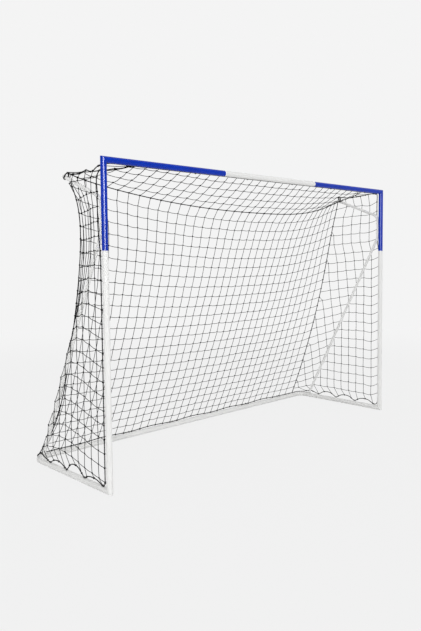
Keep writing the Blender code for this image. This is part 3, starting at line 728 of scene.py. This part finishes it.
def elbowRoute(side):
    centre = Vector((postX - elbowRadius, rearY - elbowRadius, ropeOnTubeZ))
    points = []
    for step in range(9):
        share = step / 8
        angle = math.pi / 2 * share
        radius = elbowRadius + (ropeX - postX) * (1 - share) + hookReach * share
        lift = ropeRoute[side]["tail"] * max(0.0, 1 - share * 3) ** 2
        points.append(centre + Vector((radius * math.cos(angle), radius * math.sin(angle), lift)))
    return [mirrored(point, side) for point in points]


def rearRoute():
    steps = 8 * (rearHooks["count"] - 1)
    points = []
    for step in range(steps + 1):
        x = rearHooks["reach"] * (1 - 2 * step / steps)
        points.append(Vector((x, *rearRopeAt(x))))
    return points


def topSideRoute(side):
    # From under the crossbar's corner back to the top of the arm's tip
    if side > 0:
        points = [(postX - 0.02, mouthY + 0.028, 1.962), (postX + 0.004, mouthY + 0.062, 1.968),
                  (postX + 0.009, mouthY + 0.11, 1.972), (postX + 0.009, mouthY + 0.19, 1.963),
                  (postX + 0.006, mouthY + 0.27, 1.956), (postX + 0.003, mouthY + 0.35, 1.954)]
    else:
        points = [(postX - 0.02, mouthY + 0.028, 1.962), (postX + 0.006, mouthY + 0.06, 1.944),
                  (postX + 0.010, mouthY + 0.11, 1.921), (postX + 0.010, mouthY + 0.17, 1.936),
                  (postX + 0.008, mouthY + 0.24, 1.922), (postX + 0.005, mouthY + 0.32, 1.928)]
    points.append(cornerLook[side]["tie"])
    return smoothPath([mirrored(Vector(point), side) for point in points], 4)


sideRopes = {side: topSideRoute(side) for side in (-1, 1)}
footRoutes = {side: runnerRoute(side) + elbowRoute(side)[1:] for side in (-1, 1)}


def gatherAtHooks(distance):
    # The cords near a hook are drawn in to it
    for hook in runnerHooks:
        away = distance - (hook - mouthRopeY(0.1))
        if abs(away) < 0.05:
            return distance - away * 0.55 * (1 - (away / 0.05) ** 2)
    return distance


# Rows of the side nets
def sideRow(side, row):
    # The knots of one row from the mouth rope to the corner rope; row 0 is the bottom rope, the last one the top rope
    look = sideNet[side]
    if row == 0:
        path = footRoutes[side]
        total = pathLength(path)
        places = [0.0]
        while len(places) < 12 and look["first"] + look["cell"] * (len(places) - 1) < total - 0.1:
            places.append(gatherAtHooks(look["first"] + look["cell"] * (len(places) - 1)))
        return [pointAlong(path, place) for place in places] + [sideCorner(side, 0)]
    if row == sideRows + 1:
        path = sideRopes[side]
        skew = 0.045 if side > 0 else 0.02
        places = [0.035] + [look["first"] + look["cell"] * number + skew for number in range(4)]
        return [pointAlong(path, place) for place in places] + [path[-1]]
    height = look["foot"] + look["pitch"] * (row - 1)
    corner = sideCorner(side, row)
    front = mouthRopeY(height)
    rise = look["rise"] * (1 - smoothStep(6, 18, row))

    def level(share, place):
        arch = 0.646 * share + 3.848 * share ** 2 - 3.907 * share ** 3
        first = 0.007 * math.exp(-((place - 0.075) / 0.03) ** 2) if side > 0 else 0.0
        return height + rise * arch - look["dip"] * (1 - math.exp(-place * 40)) - first

    edge = supportRearEdge(level(1.0, 0.5)) + 0.003
    fold = min(max(front + 0.03, edge), corner.y - 0.03)
    straight = fold - front
    turn = Vector((side * ropeX, fold, level(1.0, straight)))
    slant = (corner - turn).length
    cell = max(0.072, look["cell"] - look["closer"] * row)
    places = [0.0, look["first"]]
    while places[-1] + cell < straight + slant - 0.02:
        places.append(places[-1] + cell)
    knots = []
    for place in places:
        if place <= straight:
            knots.append(Vector((side * ropeX, front + place, level(place / straight, place))))
        else:
            knots.append(turn.lerp(corner, (place - straight) / slant))
    return knots + [corner]


def topNode(column, row):
    columns = topNet["columns"]
    side = 1 if column > 0 else -1
    place = smoothStep(-4, -12, column)
    back = (0.0, *[low + (left - low) * place for low, left in zip(topNet["middle"], topNet["left"])], 1.0)[row]
    if column in (columns[0] - 1, columns[-1] + 1):
        path = sideRopes[side]
        return pointAlong(path, pathLength(path) * back)
    start, bunchX = topNet["bunchAt"][side]
    strand = side * (column - start)
    bunched = smoothStep(-0.9, 0.9, strand)
    frontX = topNet["barShift"] + topNet["barPitch"] * column
    if column < 0:
        frontX -= topNet["barSpread"] * column ** 2
    frontX += (bunchX + side * 0.012 * strand - frontX) * bunched
    share = columnX(column, 0) / backHalfWidth(side, 0)
    rear = backPoint(share + (side - share) * bunched, 0)
    front = Vector((frontX, mouthY + tubeRadius + 0.009, barZ - tubeRadius * 0.6))
    point = front.lerp(rear, back)
    point.z -= (topNet["sag"] + topNet["bunchSag"] * bunched) * 4 * back * (1 - back)
    # The gathered cords lie round each other
    twist = strand * 1.7 + back * 9
    roll = topNet["bunchThick"] * bunched * (1 - 0.6 * back)
    return point + Vector((math.cos(twist) * roll, 0, math.sin(twist) * roll))


# Net panels
def netMesh(name, chains, knots):
    # Chains are lists of points; knots are points with a scale
    points, edges, along, slack, isKnot, scales = [], [], [], [], [], []
    for chain in chains:
        for index, point in enumerate(chain):
            if index:
                edges.append((len(points) - 1, len(points)))
            points.append(point)
            along.append(float(index))
            slack.append(0.0 if index in (0, len(chain) - 1) else 1.0)
            isKnot.append(False)
            scales.append(1.0)
    for point, scale, free in knots:
        points.append(point)
        along.append(0.0)
        slack.append(free)
        isKnot.append(True)
        scales.append(scale)
    mesh = bpy.data.meshes.new(name)
    mesh.from_pydata([tuple(point) for point in points], edges, [])
    for label, kind, values in (("along", "FLOAT", along), ("slack", "FLOAT", slack), ("knotScale", "FLOAT", scales),
                                ("isKnot", "BOOLEAN", isKnot)):
        mesh.attributes.new(label, kind, "POINT").data.foreach_set("value", values)
    return mesh


barKnot = 1.2
borderKnot = 1.35                                # size of a knot on a border rope against one in the net
netLook = {"Cord Diameter": 0.004, "Sag": 0.004, "Slack": 0.007, "Slack Size": 0.15, "Knot Size": 0.0098}


def addNetPanel(name, node, chains, knots, seed):
    values = dict(netLook, Seed=float(seed), Finish=netFinish)
    panel = grow(name, netMesh(name, chains, knots), netTree, values)
    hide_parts(node)
    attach(panel, "goal")
    return panel


def buildBackNet():
    rows = backNet["rows"]
    columns = backNet["columns"]
    grid = {(column, row): backNode(column, row) for column in columns for row in range(rows + 1)}
    chains, knots = [], []
    for row in range(rows + 1):
        inner = [grid[column, row] for column in columns if grid[column, row]]
        ends = [backPoint(side, downAt(row)) for side in (-1.0, 1.0)]
        free = 0 < row < rows
        if free:
            chains.append([ends[0], *inner, ends[1]])
            knots += [(end, borderKnot, 0.0) for end in ends]
        knots += [(point, 1.0 if free else borderKnot, 1.0 if free else 0.0) for point in inner]
    for column in columns:
        # A column that leaves the panel ends on the corner rope
        chain = []
        for row in range(rows + 1):
            point = grid[column, row]
            if point:
                if row and not chain:
                    chain.append(backPoint(math.copysign(1.0, column), downAt(row - 0.5)))
                chain.append(point)
            elif chain:
                chain.append(backPoint(math.copysign(1.0, column), downAt(row - 0.5)))
                break
        if len(chain) > 1:
            chains.append(chain)
    addNetPanel("back_net", "net_back_panel", chains, knots, 3)


def buildSideNet(side, word):
    lines = [sideRow(side, row) for row in range(sideRows + 2)]
    chains = lines[1:-1]
    most = max(len(line) for line in lines)
    for place in range(1, most - 1):
        column = []
        for row, line in enumerate(lines):
            if place < len(line) - 1:
                column.append(line[place])
            elif column:
                column.append((lines[row - 1][-1] + line[-1]) / 2)
                break
        if len(column) > 1:
            chains.append(column)
    knots = []
    for row, line in enumerate(lines):
        for place, point in enumerate(line[:-1]):
            border = place == 0 or row in (0, sideRows + 1)
            knots.append((point, borderKnot if border else 1.0, 0.0 if border else 1.0))
    addNetPanel("side_net_" + word, "net_side_panel_" + word, chains, knots, 11 if side > 0 else 7)


def buildTopNet():
    columns = topNet["columns"]
    last = len(topNet["middle"]) + 1
    across = range(columns[0] - 1, columns[-1] + 2)
    chains = [[topNode(column, row) for column in across] for row in range(1, last)]
    chains += [[topNode(column, row) for row in range(last + 1)] for column in columns]
    knots = []
    for row in range(last):
        for column in across:
            border = row == 0 or column in (across[0], across[-1])
            knots.append((topNode(column, row), barKnot if border else 1.0, 0.0 if border else 1.0))
    addNetPanel("top_net", "net_top_panel", chains, knots, 5)


buildBackNet()
for side, word in ((-1, "left"), (1, "right")):
    buildSideNet(side, word)
buildTopNet()


# Border ropes
ropeLook = {"Diameter": 0.0078, "Lay": 0.028, "Step": 0.005}


def addRope(name, node, points, smoothing=4, diameter=None):
    path = smoothPath(points, smoothing)
    mesh = bpy.data.meshes.new(name)
    mesh.from_pydata([tuple(point) for point in path], [(index, index + 1) for index in range(len(path) - 1)], [])
    values = dict(ropeLook, Finish=ropeFinish)
    if diameter:
        values["Diameter"] = diameter
    rope = grow(name, mesh, ropeTree, values)
    if node:
        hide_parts(node)
    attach(rope, "goal")
    return rope


def mouthRopePoints(side):
    # Up behind the post and the support's upright, then round under the corner to the crossbar and on to its middle
    slope = math.radians(30)
    outward = Vector((0, math.cos(slope), -math.sin(slope)))
    downward = Vector((0, -math.sin(slope), -math.cos(slope)))
    onBar = [Vector((place, mouthY, barZ)) + outward * (tubeRadius + 0.0041) + downward * hookReach
             for place in [(postX - tubeRadius * 3) * step / 12 for step in range(1, 13)]]
    turning = Vector((postX - tubeRadius, mouthY + tubeRadius + 0.007, barZ - tubeRadius * 1.7))
    top, foot = barZ - 0.09, ropeRoute[side]["mouthZ"]
    heights = [top - (top - foot) * step / 20 for step in range(21)]
    return [mirrored(point, side) for point in
            onBar + [turning] + [Vector((ropeX, mouthRopeY(height), height)) for height in heights]]


def lashingPoints(side):
    # Three turns of cord round the arm and the knot above it, which tie the corner of the net to the arm
    knot = mirrored(Vector(cornerLook[side]["tie"]), side)
    tip = mirrored(armTip, side)
    under = tip - armDirection * max(0.014, (tip - knot).dot(armDirection))
    middle = (under + knot) / 2
    upward = (knot - under).normalized()
    tall = (knot - under).length / 2 + supportRadius * 0.5 + 0.004
    points = []
    for step in range(37):
        angle = 2 * math.pi * step / 12
        reach = supportRadius + 0.003
        points.append(middle - upward * supportRadius * 0.5 + armDirection * (0.0045 * step / 12)
                      + Vector((1, 0, 0)) * math.cos(angle) * reach + upward * math.sin(angle) * tall)
    return points


def buildRopes():
    addRope("mouth_rope_laid", "mouth_rope", mouthRopePoints(-1)[::-1] + mouthRopePoints(1))
    left, right = footRoutes[-1], footRoutes[1]
    addRope("bottom_rope_laid", "bottom_rope", right + rearRoute() + left[::-1], 1)
    for side, word in ((-1, "left"), (1, "right")):
        corner = [backPoint(float(side), step / 24) for step in range(25)]
        corner[0] = mirrored(Vector(cornerLook[side]["top"]), side)
        addRope("corner_rope_" + word, "rear_corner_rope_" + word, corner)
        addRope("side_rope_" + word, "top_side_rope_" + word, sideRopes[side], 1)
        addRope("arm_lashing_" + word, None, lashingPoints(side), 1, 0.0044)
    addRope("top_rope", "top_rear_rope", [backPoint(step / 24 - 1, 0) for step in range(49)], 3)


buildRopes()
print("goal: ropes laid")


# Floor and light
studio = {
    "floorColour": (0.74, 0.74, 0.74), "backdrop": (0.905, 0.905, 0.905),
    "plainLight": 0.7,
    "lightLean": (0.14, -0.04, 0.10),   # more of the plain light comes from this way
    "darkRoom": 0.05,                   # what shiny paint mirrors from behind the camera
    "floorGlow": 0.9,                   # how much of the floor that the camera sees is the plain backdrop colour
    "fadeFrom": 3.2, "fadeTo": 8.0,
}


def seenRays(tree):
    rays = tree.nodes.new("ShaderNodeLightPath")
    return addMath(tree, "MAXIMUM", rays.outputs["Is Camera Ray"],
                   addMath(tree, "MAXIMUM", rays.outputs["Is Glossy Ray"], rays.outputs["Is Transmission Ray"]))


def addFloor():
    mesh = bpy.data.meshes.new("floor")
    bm = bmesh.new()
    bmesh.ops.create_grid(bm, x_segments=1, y_segments=1, size=9)
    bm.to_mesh(mesh)
    bm.free()
    floor = bpy.data.objects.new("floor", mesh)
    floor.location = (0, 0, -0.0005)
    scene.collection.objects.link(floor)
    material = bpy.data.materials.new("floor_paper")
    material.use_nodes = True
    tree = material.node_tree
    shader = tree.nodes["Principled BSDF"]
    output = tree.nodes["Material Output"]
    shader.inputs["Base Color"].default_value = (*studio["floorColour"], 1)
    shader.inputs["Roughness"].default_value = 0.9
    shader.inputs["Specular IOR Level"].default_value = 0.1
    place = tree.nodes.new("ShaderNodeTexCoord").outputs["Object"]
    distance = tree.nodes.new("ShaderNodeVectorMath")
    distance.operation = "LENGTH"
    tree.links.new(place, distance.inputs[0])
    fade = tree.nodes.new("ShaderNodeMapRange")
    fade.interpolation_type = "SMOOTHSTEP"
    for label, value in (("From Min", studio["fadeFrom"]), ("From Max", studio["fadeTo"]),
                         ("To Min", studio["floorGlow"]), ("To Max", 1.0)):
        fade.inputs[label].default_value = value
    tree.links.new(distance.outputs["Value"], fade.inputs["Value"])
    glow = tree.nodes.new("ShaderNodeEmission")
    glow.inputs["Color"].default_value = (*studio["backdrop"], 1)
    mix = tree.nodes.new("ShaderNodeMixShader")
    tree.links.new(addMath(tree, "MULTIPLY", seenRays(tree), fade.outputs["Result"]), mix.inputs["Fac"])
    tree.links.new(shader.outputs[0], mix.inputs[1])
    tree.links.new(glow.outputs[0], mix.inputs[2])
    tree.links.new(mix.outputs[0], output.inputs["Surface"])
    mesh.materials.append(material)


def addWorld():
    # The backdrop as the camera sees it, dark behind the viewer for shiny paint, and a plain light for everything else
    world = bpy.data.worlds.new("studio")
    world.use_nodes = True
    tree = world.node_tree
    place = tree.nodes.new("ShaderNodeTexCoord").outputs["Generated"]

    def leaning(way):
        dot = tree.nodes.new("ShaderNodeVectorMath")
        dot.operation = "DOT_PRODUCT"
        tree.links.new(place, dot.inputs[0])
        dot.inputs[1].default_value = way
        return dot.outputs["Value"]

    light = tree.nodes["Background"]
    light.inputs["Color"].default_value = (1.0, 1.0, 1.0, 1)
    tree.links.new(addMath(tree, "ADD", leaning(studio["lightLean"]), studio["plainLight"]), light.inputs["Strength"])
    backdrop = tree.nodes.new("ShaderNodeBackground")
    backdrop.inputs["Color"].default_value = (*studio["backdrop"], 1)
    towards = tree.nodes.new("ShaderNodeMapRange")
    towards.interpolation_type = "SMOOTHSTEP"
    for label, value in (("From Min", -0.25), ("From Max", 0.25), ("To Min", studio["darkRoom"]), ("To Max", 1.0)):
        towards.inputs[label].default_value = value
    tree.links.new(leaning((0.69, 0.72, 0.0)), towards.inputs["Value"])
    cameraRay = tree.nodes.new("ShaderNodeLightPath").outputs["Is Camera Ray"]
    tree.links.new(addMath(tree, "MAXIMUM", towards.outputs["Result"], cameraRay), backdrop.inputs["Strength"])
    mix = tree.nodes.new("ShaderNodeMixShader")
    tree.links.new(seenRays(tree), mix.inputs["Fac"])
    tree.links.new(light.outputs[0], mix.inputs[1])
    tree.links.new(backdrop.outputs[0], mix.inputs[2])
    tree.links.new(mix.outputs[0], tree.nodes["World Output"].inputs["Surface"])
    scene.world = world


def addLamp(name, place, target, size, power):
    data = bpy.data.lights.new(name, "AREA")
    data.shape = "RECTANGLE"
    data.size, data.size_y = size
    data.energy = power
    lamp = bpy.data.objects.new(name, data)
    lamp.location = place
    aim = Vector(target) - Vector(place)
    lamp.rotation_euler = aim.to_track_quat("-Z", "Y").to_euler()
    scene.collection.objects.link(lamp)
    return lamp


addFloor()
addWorld()
addLamp("tall_softbox", (-8.2, -9.2, 2.8), (0, 0, 1.1), (1.9, 2.6), 400)
strip = addLamp("gloss_strip", (-6.3, -6.9, 2.8), (0, 0, 2.2), (3.0, 3.2), 3400)
strip.visible_diffuse = False        # only shiny paint shows it
print("goal: stage lit")
